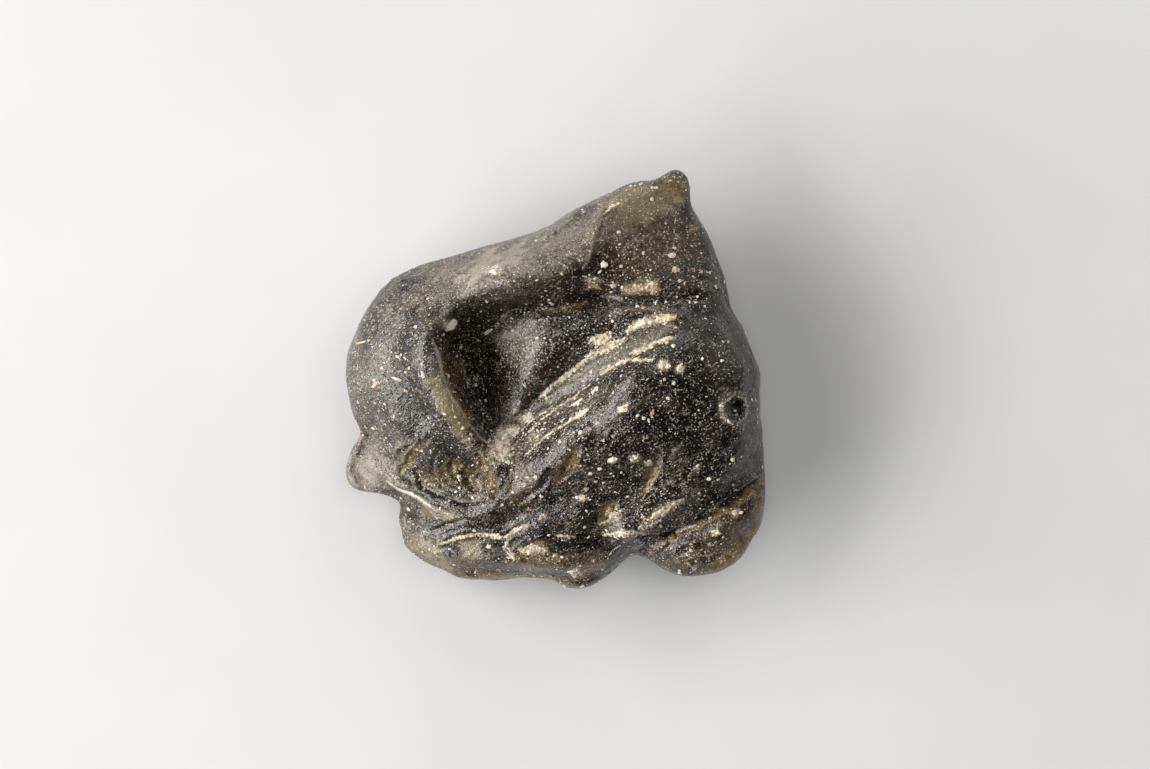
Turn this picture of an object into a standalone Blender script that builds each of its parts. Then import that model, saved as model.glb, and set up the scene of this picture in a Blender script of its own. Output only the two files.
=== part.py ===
"""Darwin glass: one fragment of folded natural impact glass, lying with its folded face up.

Metres, +Z up. The origin is under the middle of the outline, in the plane of the flat patch on the
underside. Lengths in the tables below are millimetres of the real fragment, and MM turns them to metres.

The fragment is one solid. A fine ball is drawn out to the outline, its upper half rises to the folded
face, and its lower half sinks to the underside. Both faces follow form lines: the crests, lips, creases
and hollows that the glass froze in, with the height of each. Fracture scars, pits and burst bubbles are
then scooped out, and the underside is cut off flat where the fragment stands.
"""

import math

import bmesh
import bpy
import numpy as np
from mathutils import Vector, noise

MM = 0.001

# Driving dimension: the real width across X, which the whole drawing below is scaled to.
WIDTH = 46.3

# The outline is drawn as angles and distances around this point, which sees all of it.
HUB = (0.5, -2.1)
OUTLINE = [
    (22.7, -2.1), (22.7, 0.6), (21.9, 2.5), (20.8, 5.0), (19.6, 7.5), (18.8, 10.2), (17.9, 13.0),
    (17.1, 15.9), (15.9, 17.8), (15.0, 19.3), (15.0, 21.0), (14.4, 22.3), (13.1, 23.1), (11.9, 22.6),
    (11.2, 21.8), (9.3, 21.7), (6.9, 20.8), (4.2, 19.5), (1.8, 18.4), (-0.6, 16.9), (-3.7, 15.6),
    (-7.2, 14.4), (-11.1, 13.0), (-14.4, 12.2), (-16.9, 11.2), (-19.3, 9.1), (-21.3, 6.4),
    (-22.5, 3.4), (-22.9, 0.1), (-22.4, -3.5), (-21.4, -6.1), (-22.4, -7.9), (-23.1, -9.8),
    (-22.7, -11.4), (-21.7, -12.2), (-19.3, -12.6), (-17.7, -13.4), (-16.7, -14.1), (-17.4, -15.2),
    (-16.8, -16.6), (-16.7, -18.1), (-14.5, -20.0), (-12.2, -21.2), (-10.6, -22.2), (-7.2, -22.4),
    (-3.9, -22.1), (-1.2, -22.4), (1.3, -23.1), (3.8, -22.8), (5.6, -21.7), (7.1, -20.4),
    (8.4, -19.3), (10.6, -19.9), (11.9, -21.1), (13.9, -21.7), (15.9, -21.7), (18.3, -21.2),
    (20.7, -19.7), (21.9, -17.7), (22.9, -16.1), (23.1, -13.7), (22.8, -11.2), (22.8, -7.6),
    (22.7, -4.9),
]

# How the side runs round the fragment: the angle at the hub in degrees, the height of the widest line, the
# heights of the shoulder above it and the belly below it, and how wide the shoulder's and the belly's
# roundings are.
SIDES = [
    (0, 9.0, 17.0, 3.4, 3.0, 5.0),
    (30, 10.0, 15.8, 4.6, 3.0, 5.0),
    (50, 11.4, 14.6, 7.4, 1.8, 3.0),
    (62, 12.0, 14.4, 8.6, 1.5, 2.4),
    (74, 11.7, 15.6, 7.0, 1.6, 3.0),
    (80, 11.4, 16.6, 6.0, 4.6, 4.0),
    (100, 11.0, 17.0, 4.8, 5.0, 5.0),
    (130, 11.0, 17.8, 4.4, 6.5, 6.0),
    (160, 11.0, 17.6, 4.2, 7.5, 6.0),
    (180, 10.5, 16.4, 4.4, 6.5, 5.0),
    (189, 8.5, 10.6, 4.6, 3.2, 3.0),
    (200, 5.2, 6.8, 3.4, 1.8, 1.6),
    (215, 6.0, 7.6, 3.2, 2.2, 2.4),
    (240, 6.5, 9.6, 3.0, 2.6, 3.0),
    (270, 7.0, 10.4, 2.8, 3.0, 4.0),
    (292, 7.4, 10.6, 3.4, 2.6, 3.0),
    (306, 8.2, 10.8, 5.2, 2.4, 2.4),
    (326, 8.8, 11.2, 5.6, 2.4, 2.6),
    (345, 9.0, 14.6, 4.4, 3.2, 4.0),
]

# The folded face: points of each form line, with their heights.
FACE_LINES = {
    # the roll along the left and the top, and the hollow under its lip
    "roll_crest": [
        (-18.4, -5.0, 14.8), (-18.6, -1.8, 16.6), (-18.0, 1.9, 17.7), (-16.0, 5.6, 18.4),
        (-12.9, 8.2, 18.9), (-9.0, 9.2, 19.6), (-4.8, 10.2, 19.9), (-0.8, 11.0, 19.8),
        (2.7, 12.0, 19.4),
    ],
    "roll_valley": [(-15.5, -0.6, 17.9), (-15.0, -2.4, 17.3), (-14.0, -4.3, 16.5)],
    "roll_lip": [
        (-10.3, 7.5, 19.1), (-12.4, 5.6, 19.5), (-13.1, 3.1, 19.5), (-12.9, 0.6, 19.0),
        (-12.0, -1.6, 18.4), (-10.7, -3.7, 17.5), (-9.1, -5.3, 16.3), (-7.6, -6.4, 14.9),
    ],
    "band_slope": [(-8.0, 12.2, 18.9), (-3.6, 13.4, 18.6), (0.8, 15.0, 18.2), (3.4, 17.0, 17.6)],
    "hollow_wall_foot": [
        (-9.4, 5.8, 15.0), (-10.9, 4.2, 13.0), (-11.3, 2.0, 12.3), (-10.6, -0.5, 11.6),
        (-9.2, -2.9, 11.2), (-7.9, -4.8, 11.4),
    ],
    "hollow_floor": [(-8.7, 3.9, 12.2), (-8.6, 1.2, 11.0), (-8.0, -1.9, 10.7)],
    # the bulge that rises out of the hollow, and the crease that parts it from the roll
    "bulge_crest": [
        (-5.2, -4.6, 12.6), (-4.2, -1.9, 13.8), (-3.0, 1.2, 15.4), (-0.8, 3.8, 16.5), (3.2, 5.6, 17.0),
        (7.4, 6.4, 17.3), (10.2, 6.9, 17.3),
    ],
    "bulge_foot": [(-6.5, 4.9, 13.6), (-7.0, 2.3, 12.4), (-6.7, -1.0, 11.6)],
    "upper_crease": [
        (-9.4, 6.9, 16.6), (-7.2, 6.2, 14.8), (-3.9, 7.3, 15.0), (0.1, 8.2, 15.6), (4.7, 8.5, 16.0),
        (9.3, 8.1, 16.4), (14.2, 7.9, 16.8), (18.6, 6.8, 15.8),
    ],
    # the flat scar that ends the roll at the top corner
    "scar_edge": [
        (5.4, 19.0, 17.2), (4.8, 17.4, 18.2), (4.3, 15.2, 18.9), (3.7, 13.0, 19.3), (3.0, 10.9, 18.8),
    ],
    "scar_field": [(10.9, 19.9, 15.2), (9.3, 16.6, 16.6), (11.5, 13.3, 16.8)],
    "scar_right": [(13.5, 21.0, 14.0), (15.0, 16.0, 14.6), (16.6, 11.6, 15.2)],
    "scar_foot": [
        (3.4, 10.5, 18.4), (6.5, 10.5, 18.1), (10.4, 10.3, 17.8), (14.8, 9.9, 16.8), (17.6, 9.2, 15.8),
    ],
    # the crack, the crest beside it and the broad face
    "crack": [
        (12.9, 6.9, 17.2), (10.4, 5.5, 16.9), (7.1, 3.6, 16.2), (3.8, 1.5, 15.3), (0.5, -0.8, 14.2),
        (-2.8, -3.5, 13.0), (-5.4, -6.1, 12.2),
    ],
    "ridge_crest": [
        (15.2, 6.2, 18.4), (12.8, 5.2, 19.2), (10.2, 3.4, 20.0), (7.5, 1.0, 20.5), (5.8, -1.6, 20.6),
        (4.4, -4.2, 20.0), (0.9, -7.1, 18.8), (-2.1, -10.2, 17.0),
    ],
    "plateau": [(15.9, 0.1, 20.6), (14.8, -2.7, 20.8), (11.5, -5.4, 20.4), (8.2, -7.4, 19.6)],
    "right_shoulder": [(18.3, 5.0, 18.0), (20.4, 1.7, 18.6), (21.0, -1.6, 18.8), (21.0, -5.4, 18.2)],
    "trough": [
        (-0.6, -13.1, 14.6), (2.7, -14.0, 15.0), (6.0, -12.9, 15.8), (9.3, -11.2, 17.0),
        (12.8, -9.0, 18.2),
    ],
    # the wing at the lower right, behind its groove
    "band_break": [
        (7.1, -16.4, 14.6), (10.4, -14.2, 15.6), (14.8, -11.4, 17.0), (19.2, -9.0, 17.2),
        (21.8, -7.6, 16.2),
    ],
    "lower_lip": [
        (5.6, -20.0, 12.4), (9.3, -17.5, 13.6), (14.2, -14.2, 14.4), (18.6, -11.6, 14.6),
        (22.1, -9.6, 13.8),
    ],
    "wing_groove": [
        (8.6, -19.0, 9.8), (10.9, -18.1, 10.8), (15.0, -15.6, 12.4), (19.2, -13.0, 12.9),
        (22.5, -11.0, 12.2),
    ],
    "wing_crest": [(11.9, -20.0, 10.8), (14.8, -18.6, 12.4), (18.3, -16.2, 13.4), (21.2, -13.8, 13.2)],
    "wing_rim": [(14.8, -20.6, 10.6), (18.3, -19.7, 10.8), (21.2, -17.1, 10.8)],
    # the folds along the bottom
    "fold_crease": [
        (-15.2, -16.9, 8.6), (-12.7, -17.7, 9.8), (-10.2, -17.3, 11.0), (-7.3, -16.8, 11.8),
        (-5.2, -15.8, 12.2),
    ],
    "fold_crest": [(-3.4, -16.9, 13.2), (0.4, -16.3, 13.6), (4.0, -16.4, 13.4)],
    "second_fold": [
        (-5.4, -18.8, 11.8), (-3.0, -18.9, 12.0), (-0.6, -18.4, 12.2), (2.6, -18.0, 12.0),
        (6.2, -18.2, 11.2),
    ],
    "bottom_crest": [
        (-14.4, -18.7, 9.6), (-11.6, -19.4, 11.2), (-8.0, -20.1, 11.9), (-3.8, -20.5, 12.3),
        (0.6, -20.6, 12.4), (4.0, -20.3, 12.0),
    ],
    "bottom_rim": [(-10.6, -21.3, 9.4), (-6.1, -21.6, 9.8), (0.5, -22.0, 10.0), (4.0, -21.7, 9.8)],
    # the scoop below the roll, and the thin flange beside it
    "scoop_rim": [
        (-16.4, -6.5, 14.8), (-13.5, -6.3, 15.8), (-10.0, -7.2, 15.6), (-7.0, -9.0, 15.6),
        (-5.8, -11.8, 14.6),
    ],
    "scoop_floor": [(-12.8, -9.2, 13.0), (-10.2, -9.9, 12.5), (-7.8, -10.9, 12.5)],
    "saddle": [(-5.6, -7.9, 14.6), (-4.5, -9.8, 15.2), (-3.9, -12.3, 15.0), (-3.0, -14.0, 13.8)],
    "roll_foot": [
        (-20.8, -6.7, 8.4), (-18.9, -8.2, 8.6), (-16.9, -10.2, 9.0), (-14.7, -11.8, 9.8),
        (-12.2, -13.0, 10.8), (-9.0, -13.2, 11.8),
    ],
    "flange_ridge": [
        (-22.3, -9.4, 6.6), (-20.2, -9.2, 7.4), (-18.0, -11.4, 8.6), (-15.8, -12.9, 9.6),
        (-13.4, -14.4, 10.8), (-11.0, -15.4, 11.8), (-8.4, -15.2, 12.6), (-6.2, -13.9, 13.4),
    ],
    "flange_edge": [(-21.5, -10.9, 6.0), (-18.2, -12.5, 7.0), (-16.2, -15.3, 7.4)],
}

# The underside in the same way. Heights under 0 are cut off by the flat patch.
UNDER_LINES = {
    "patch": [
        (-8.0, -4.0, -0.5), (-3.0, 5.0, -0.6), (4.0, 6.5, -0.5), (9.0, 0.0, -0.6), (5.0, -8.0, -0.6),
    ],
    "patch_middle": [(-3.0, -3.0, -1.0), (3.0, -1.0, -1.2)],
    "roll_belly": [(-14.0, 8.0, 3.4), (-18.0, 2.0, 3.2), (-17.0, -4.0, 2.6)],
    "flange_belly": [(-19.5, -10.0, 3.4), (-15.0, -13.0, 2.6)],
    "tuck": [(-13.0, -10.0, 3.6), (-12.0, -4.0, 2.2), (-10.0, 3.0, 1.8)],
    "bottom_belly": [(-9.0, -18.5, 3.2), (0.0, -19.0, 3.4)],
    "wing_belly": [(12.0, -17.0, 4.6), (17.5, -15.0, 5.2)],
    "right_belly": [(18.0, -4.0, 3.0), (17.0, 4.0, 3.4)],
    "apex_belly": [(6.0, 15.0, 5.2), (11.0, 17.0, 7.6)],
    "top_belly": [(-8.0, 10.5, 3.6), (0.0, 13.5, 4.4)],
}

# Dishes in the folded face: middle, half-sizes, turn in degrees and depth. The round one is a burst
# bubble, and the long ones are drawn-out bubbles and gashes.
FACE_DISHES = [
    ((19.5, -3.1), (1.15, 1.15), 0, 0.9),
    ((1.6, -9.3), (0.6, 2.0), -25, 0.8),
    ((10.6, -9.7), (0.5, 1.6), -35, 0.8),
    ((5.2, -14.7), (0.7, 1.7), -45, 0.9),
    ((-15.4, -8.3), (0.6, 2.2), -40, 1.3),
]
# Shell-like fracture scars on the side and the underside: middle, half-sizes and turn in degrees.
SCARS = [
    ((29.0, 5.0, 6.0), (8.4, 9.0, 7.5), 10),
    ((-6.0, 22.0, 5.0), (9.0, 8.2, 7.0), -20),
    ((-29.0, 2.0, 4.5), (8.2, 9.0, 6.0), 0),
    ((-3.0, -29.5, 4.0), (11.0, 8.4, 6.0), 0),
    ((9.0, -25.2, 9.0), (2.6, 6.0, 8.0), 0),
    ((26.5, -19.0, 4.0), (6.5, 6.0, 4.5), -30),
    ((-13.0, 9.5, -5.0), (10.0, 8.0, 9.0), 25),
    ((15.5, 8.5, -3.5), (6.5, 11.0, 7.5), -20),
    ((14.0, -19.0, -2.2), (10.0, 6.0, 7.0), 30),
]

LINE_STEP = 1.2  # between the points that a form line is read at
SOFTNESS = 0.5  # how round a crest or crease is where it passes through its line
CURVE_STEPS = 6  # points on the outline's curve for each point drawn
BALL_LEVEL = 7
RIM_CROWDING = 0.9  # under 1 draws the ball's points towards the outline
SETTLING = 5  # passes that round the skin off, as cooling glass does
LUMPS = [  # size along X, Y and Z, and height, of the uneven skin: swells, ropy bands and dimples
    ((8.0, 8.0, 8.0), 0.4),
    ((10.0, 10.0, 2.2), 0.3),
    ((3.1, 3.1, 3.1), 0.16),
]
MOST_TRIANGLES = 9400
CUTTER_SIZE = (80.0, 80.0, 12.0)
CRISP_EDGE = math.radians(38)


def rounded_loop(points):
    """Points on a Catmull-Rom curve through the closed loop of points."""
    loop = []
    for i in range(len(points)):
        a, b, c, d = (np.array(points[(i + k) % len(points)], float) for k in (-1, 0, 1, 2))
        for t in np.arange(CURVE_STEPS) / CURVE_STEPS:
            straight = 2 * b + (c - a) * t
            bend = (2 * a - 5 * b + 4 * c - d) * t**2 + (3 * b - a - 3 * c + d) * t**3
            loop.append((straight + bend) / 2)
    return np.array(loop)


def polar(points):
    """Angle in degrees and distance of each point, seen from the hub."""
    from_hub = points[:, :2] - HUB
    return np.degrees(np.arctan2(from_hub[:, 1], from_hub[:, 0])), np.linalg.norm(from_hub, axis=1)


def around(angles, values, wanted):
    """The values read at the wanted angles, in degrees, right round the circle."""
    order = np.argsort(angles % 360)
    return np.interp(wanted, (angles % 360)[order], values[order], period=360)


def line_stations(lines):
    """Points along all the form lines, no more than a line step apart."""
    stations = []
    for points in lines.values():
        for start, end in zip(points[:-1], points[1:]):
            start, end = np.array(start), np.array(end)
            count = math.ceil(np.linalg.norm(end - start) / LINE_STEP)
            stations += [start + (end - start) * k / count for k in range(count)]
        stations.append(np.array(points[-1]))
    return np.array(stations)


def height_through(stations):
    """A smooth height over the plane that passes through the stations: Hardy's multiquadric."""

    def reach(points):
        gap = points[:, None, :2] - stations[None, :, :2]
        return np.sqrt((gap**2).sum(axis=2) + SOFTNESS**2)

    weights = np.linalg.solve(reach(stations), stations[:, 2])
    return lambda points: reach(points) @ weights


def distance_to(loop, points):
    """How far each point is from the closed loop."""
    nearest = np.full(len(points), np.inf)
    for start, end in zip(loop, np.roll(loop, -1, axis=0)):
        run = end - start
        share = np.clip((points - start) @ run / (run @ run), 0, 1)
        nearest = np.minimum(nearest, np.linalg.norm(points - start - share[:, None] * run, axis=1))
    return nearest


def round_over(distance, width):
    """A quarter circle's rise: 0 at the outline, 1 from the given width inwards."""
    share = np.clip(distance / width, 0, 1)
    return np.sqrt(1 - (1 - share) ** 2)


def side_at(degrees):
    """The side at each angle: widest line, shoulder, belly, shoulder's width and belly's width."""
    sides = np.array(SIDES)
    return [around(sides[:, 0], column, degrees) for column in sides.T[1:]]


def drawn_out(ball):
    """The unit ball's points, moved out to the outline and up or down to the two faces."""
    loop = rounded_loop(OUTLINE)
    loop_angles, loop_reach = polar(loop)
    angles = np.degrees(np.arctan2(ball[:, 1], ball[:, 0]))
    from_hub = np.hypot(ball[:, 0], ball[:, 1]) ** RIM_CROWDING * around(loop_angles, loop_reach, angles)
    headings = np.column_stack([np.cos(np.radians(angles)), np.sin(np.radians(angles))])
    plan = np.array(HUB) + from_hub[:, None] * headings

    _, loop_shoulder, loop_belly, _, _ = side_at(loop_angles)
    face = height_through(np.vstack([line_stations(FACE_LINES), np.column_stack([loop, loop_shoulder])]))
    under = height_through(np.vstack([line_stations(UNDER_LINES), np.column_stack([loop, loop_belly])]))
    widest, _, _, shoulder_width, belly_width = side_at(angles)
    inwards = distance_to(loop, plan)
    rise = round_over(inwards, shoulder_width) * (face(plan) - widest)
    fall = round_over(inwards, belly_width) * (under(plan) - widest)
    return np.column_stack([plan, widest + np.where(ball[:, 2] >= 0, rise, fall)])


def turned(degrees):
    """The rotation about Z that takes rows of points into the frame of a dish or scar, turned this far."""
    c, s = math.cos(math.radians(degrees)), math.sin(math.radians(degrees))
    return np.array([[c, -s, 0], [s, c, 0], [0, 0, 1]])


def press_dishes(points, on_face):
    """Lowers the face's points inside each dish."""
    for middle, half_sizes, turn, depth in FACE_DISHES:
        local = (points[:, :2] - middle) @ turned(turn)[:2, :2] / half_sizes
        share = np.clip(1 - (local**2).sum(axis=1), 0, 1)
        points[:, 2] -= np.where(on_face, depth * np.sqrt(share), 0)


def strike_scars(points):
    """Moves the points inside each scar's ellipsoid out to its surface, which leaves a crisp rim."""
    for middle, half_sizes, turn in SCARS:
        local = (points - middle) @ turned(turn) / half_sizes
        size = np.linalg.norm(local, axis=1)
        inside = size < 1
        points[inside] = (local[inside] / size[inside, None] * half_sizes) @ turned(turn).T + middle


def settle(skin):
    """Draws each point towards its neighbours, which rounds off crests and creases a little."""
    for _ in range(SETTLING):
        bmesh.ops.smooth_vert(
            skin, verts=skin.verts, factor=0.5, use_axis_x=True, use_axis_y=True, use_axis_z=True
        )


def raise_lumps(skin):
    """Swells and sinks the skin along its normals, in millimetres."""
    skin.normal_update()
    for vert in skin.verts:
        swell = 0.0
        for size, height in LUMPS:
            swell += height * noise.noise(Vector(axis / length for axis, length in zip(vert.co, size)))
        vert.co += vert.normal * swell


def fragment_skin():
    """The whole skin in millimetres, before the flat patch is cut."""
    skin = bmesh.new()
    bmesh.ops.create_icosphere(skin, subdivisions=BALL_LEVEL, radius=1.0)
    ball = np.array([vert.co for vert in skin.verts])
    points = drawn_out(ball)
    for vert, point in zip(skin.verts, points):
        vert.co = point
    settle(skin)
    raise_lumps(skin)
    points = np.array([vert.co for vert in skin.verts])
    press_dishes(points, ball[:, 2] > 0)
    strike_scars(points)
    for vert, point in zip(skin.verts, points):
        vert.co = point
    return skin


def to_scale(skin):
    """Centres the skin on the origin in plan and scales it to the real width, in metres."""
    corners = np.array([vert.co for vert in skin.verts])
    low, high = corners.min(axis=0), corners.max(axis=0)
    middle = Vector(((low[0] + high[0]) / 2, (low[1] + high[1]) / 2, 0))
    scale = WIDTH * MM / (high[0] - low[0])
    bmesh.ops.translate(skin, vec=-middle, verts=skin.verts)
    bmesh.ops.scale(skin, vec=(scale, scale, scale), verts=skin.verts)


def glass_material():
    material = bpy.data.materials.new("dark_olive_glass")
    material.use_nodes = True
    shader = material.node_tree.nodes["Principled BSDF"]
    shader.inputs["Base Color"].default_value = (0.03, 0.028, 0.018, 1)
    shader.inputs["Roughness"].default_value = 0.45
    shader.inputs["Metallic"].default_value = 0.0
    return material


def new_collection(name):
    collection = bpy.data.collections.new(name)
    bpy.context.scene.collection.children.link(collection)
    return collection


def table_cutter(collection):
    """A block whose top is the plane that the fragment stands on."""
    block = bmesh.new()
    bmesh.ops.create_cube(block, size=1.0)
    bmesh.ops.scale(block, vec=Vector(CUTTER_SIZE) * MM, verts=block.verts)
    bmesh.ops.translate(block, vec=(0, 0, -CUTTER_SIZE[2] * MM / 2), verts=block.verts)
    mesh = bpy.data.meshes.new("table_cutter")
    block.to_mesh(mesh)
    block.free()
    cutter = bpy.data.objects.new("table_cutter", mesh)
    cutter.hide_render = True
    cutter.display_type = "WIRE"
    collection.objects.link(cutter)
    return cutter


def darwin_glass(collection, cutter):
    skin = fragment_skin()
    to_scale(skin)
    full_count = len(skin.faces)
    mesh = bpy.data.meshes.new("darwin_glass")
    skin.to_mesh(mesh)
    skin.free()
    mesh.shade_smooth()
    mesh.set_sharp_from_angle(angle=CRISP_EDGE)
    mesh.materials.append(glass_material())
    fragment = bpy.data.objects.new("darwin_glass", mesh)
    collection.objects.link(fragment)
    thin_out = fragment.modifiers.new("thin_out", "DECIMATE")
    thin_out.ratio = MOST_TRIANGLES / full_count
    flat_patch = fragment.modifiers.new("flat_patch", "BOOLEAN")
    flat_patch.operation = "DIFFERENCE"
    flat_patch.solver = "EXACT"
    flat_patch.object = cutter
    return fragment


def main():
    for old in list(bpy.data.objects):
        bpy.data.objects.remove(old, do_unlink=True)
    cutter = table_cutter(new_collection("cutters"))
    darwin_glass(new_collection("darwin_glass_specimen"), cutter)


main()
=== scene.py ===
"""Looks of a Darwin glass specimen: frosted, pitted glass with clay in its crack, on a pale floor.

The glass is the solid's own shape, remade as an even mesh that is fine enough for the creases, ledges,
flow streaks, pits and burst bubbles. Clay crust, chips and grains lie on it as pieces of their own.
Lengths are millimetres of the real fragment and MM turns them to metres. What is placed on the
folded face is given in pixels of the photograph, which in_plan() turns to millimetres.
"""

import itertools
import math

import bmesh
import bpy
import numpy as np
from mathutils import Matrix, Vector
from mathutils.bvhtree import BVHTree
from mathutils.kdtree import KDTree

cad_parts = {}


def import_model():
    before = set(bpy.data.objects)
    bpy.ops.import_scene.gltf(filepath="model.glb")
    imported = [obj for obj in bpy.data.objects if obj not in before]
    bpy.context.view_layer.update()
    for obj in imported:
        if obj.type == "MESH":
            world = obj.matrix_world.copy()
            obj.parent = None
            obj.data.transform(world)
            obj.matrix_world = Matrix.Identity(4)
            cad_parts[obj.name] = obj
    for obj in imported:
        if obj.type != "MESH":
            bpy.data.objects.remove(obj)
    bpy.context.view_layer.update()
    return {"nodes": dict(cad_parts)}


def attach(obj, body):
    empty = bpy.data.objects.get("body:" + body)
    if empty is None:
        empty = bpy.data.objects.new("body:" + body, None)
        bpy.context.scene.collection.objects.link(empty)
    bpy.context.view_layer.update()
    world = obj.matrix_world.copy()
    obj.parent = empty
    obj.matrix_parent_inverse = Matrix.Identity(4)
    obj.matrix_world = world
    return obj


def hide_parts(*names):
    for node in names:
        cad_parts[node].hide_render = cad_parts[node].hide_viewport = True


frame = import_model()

MM = 0.001
PIXEL = 0.11  # millimetres of glass for each pixel of the photograph
MIDDLE_PIXEL = (555.5, 380.5)  # the pixel over the origin

VOXEL = 0.205  # how far apart the points of the even mesh lie
GLASS_TRIANGLES = 195000
ROUNDING_PASSES = 12

# Where a fold of the solid is too sharp: the middle pixel of an oval, its half-length, half-width and
# turn in degrees, and the strength.
SOFTENED = {
    "bulge_foot": ((510, 378), 3.6, 1.9, 68, 1),
    "bulge_right": ((575, 338), 3.6, 1.2, 30, 0.7),
}
SOFTENING_PASSES = 70
SOFTENED_ABOVE = 6.0  # the part of the fragment below this height isn't softened

# Creases in the folded face: depth, half-width, and the pixels that each runs through.
CREASES = {
    "crack": (0.55, 0.34, [
        (674, 317), (655, 327), (640, 333), (612, 346), (590, 358), (562, 379), (540, 397), (520, 414),
        (506, 428)]),
    "strip_foot": (0.4, 0.3, [
        (676, 326), (660, 340), (640, 352), (620, 362), (600, 373), (580, 388), (560, 397), (540, 406),
        (524, 420)]),
    "upper_crease": (0.5, 0.5, [
        (462, 330), (490, 318), (540, 310), (580, 303), (620, 299), (660, 305), (690, 299), (716, 300)]),
    "wing_groove": (1.15, 0.38, [
        (640, 553), (660, 537), (680, 526), (700, 515), (720, 505), (740, 495), (763, 480)]),
    "lobe_edge": (0.4, 0.3, [
        (437, 548), (455, 541), (470, 536), (485, 533), (500, 537), (508, 534), (520, 525), (533, 520)]),
    "lobe_top": (0.3, 0.24, [(432, 530), (440, 527), (458, 521), (474, 520)]),
    "second_fold": (0.45, 0.34, [
        (504, 540), (512, 553), (524, 549), (545, 543), (562, 549), (580, 548), (604, 541), (640, 541)]),
    "bottom_band": (0.3, 0.3, [(456, 572), (490, 572), (530, 573), (556, 578), (584, 581)]),
    "lower_band": (0.2, 0.24, [(470, 578), (510, 579), (545, 583)]),
    "flange_line": (0.3, 0.25, [(396, 486), (412, 492), (432, 503), (450, 506), (474, 508)]),
    "strip_streak": (0.3, 0.3, [(656, 340), (644, 348), (630, 355)]),
    "face_gash": (0.6, 0.3, [(716, 488), (702, 499)]),
    "band_gash": (0.4, 0.3, [(668, 528), (650, 532), (628, 540)]),
    "wedge": (0.6, 0.25, [(400, 458), (404, 451), (416, 443), (431, 437)]),
    "wing_slot": (0.95, 0.34, [(680, 550), (694, 546), (712, 543)]),
    "wing_streak": (0.5, 0.25, [(682, 558), (700, 557), (722, 560)]),
    "mid_gash": (0.35, 0.25, [(556, 534), (575, 537), (592, 533)]),
    "scoop_arc": (0.4, 0.3, [(420, 468), (424, 485), (436, 497), (458, 501), (490, 500)]),
    "scoop_side": (0.35, 0.3, [(478, 452), (490, 470), (494, 488), (490, 500)]),
    "wing_bar": (0.45, 0.25, [(688, 574), (693, 566), (690, 560)]),
    "low_gash": (0.4, 0.3, [(520, 500), (540, 487), (552, 470)]),
}

# Ledges: the face stands this much higher on the left of the line, going along it, and the rise
# fades out over the reach.
LEDGES = {
    "blade": (0.55, 2.2, [
        (484, 441), (473, 429), (462, 412), (450, 393), (444, 376), (440, 356), (436, 338)]),
    "flange_top": (0.4, 1.5, [(366, 446), (384, 469), (400, 486), (430, 503), (470, 511)]),
    "scoop_top": (0.45, 1.2, [(400, 452), (414, 441), (432, 438)]),
    "wedge_side": (0.5, 1.4, [(405, 474), (418, 460), (426, 444)]),
    "facet_side": (0.5, 2.6, [(582, 276), (588, 262), (594, 244), (601, 224), (606, 204)]),
    "strip_top": (0.3, 1.6, [(540, 400), (562, 382), (590, 361), (612, 349), (640, 336), (670, 321)]),
    "groove_lip": (0.4, 1.3, [(644, 545), (662, 530), (684, 518), (710, 505), (738, 490), (762, 474)]),
}

# How far the blade's edge leans out over the hollow, and how high it stands, from its foot up.
LIP_LEAN = (0.75, 0.35)
LIP_HEIGHTS = (14.9, 16.8, 18.8, 19.4)

# Where the glass froze in rings and arcs: middle in pixels, size of the area, ring spacing and height.
RINGS = {
    "scoop": ((463, 466), 5.6, 0.9, 0.2),
    "strip": ((600, 392), 2.2, 0.55, 0.08),
    "fan": ((560, 420), 3.6, 0.7, 0.08),
}

# The main burst bubble near the right edge, and the smaller one inside it.
BUBBLE = {"pixel": (734, 408), "radius": 1, "depth": 0.5, "rim": 0.24}
INNER_BUBBLE = {"pixel": (732, 404), "radius": 0.45, "depth": 0.3, "rim": 0.1}

# Long pits that show brown glass: pixel, half-length, half-width, turn in degrees and depth.
GASHES = {
    "left": ((569, 464), 1.7, 0.55, 62, 0.45),
    "right": ((649, 479), 1.5, 0.45, 55, 0.45),
    "low": ((606, 512), 1.3, 0.55, 58, 0.55),
    "scoop_corner": ((492, 494), 1, 0.45, 70, 0.6),
    "scoop_pit": ((453, 464), 0.9, 0.6, 0, 0.6),
    "wedge": ((412, 460), 1.7, 0.6, 52, 0.35),
    "scoop": ((468, 478), 1.5, 0.7, 110, 0.5),
    "second_fold": ((512, 541), 0.8, 0.4, 30, 0.3),
}

FLOW_TURN = math.radians(37)  # the way that the flow streaks run on the folded face
STREAK_LENGTH = 4.2
STREAK_WIDTH = 0.42
STREAK_HEIGHT = 0.085

OUT_OF_REACH = 100.0  # added to the distance of what faces away, so that it is never the nearest

PIT_COUNT = 700
PIT_RADIUS = (0.2, 0.5)

SWELLS = [(5.5, 0.14), (2.2, 0.045), (0.8, 0.022)]  # size and height of the uneven skin

# Where the shell-like breaks of the sides and the underside start from.
RIPPLE_CENTRES = [(-34, -6, -6), (8, -40, 2), (38, 10, -8), (-8, 36, -2), (2, 0, -24)]
RIPPLE_HEIGHT = 0.1


def in_plan(pixel):
    """Where a pixel of the photograph lies over the fragment, in millimetres."""
    return np.array([(pixel[0] - MIDDLE_PIXEL[0]) * PIXEL, (MIDDLE_PIXEL[1] - pixel[1]) * PIXEL])


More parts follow.
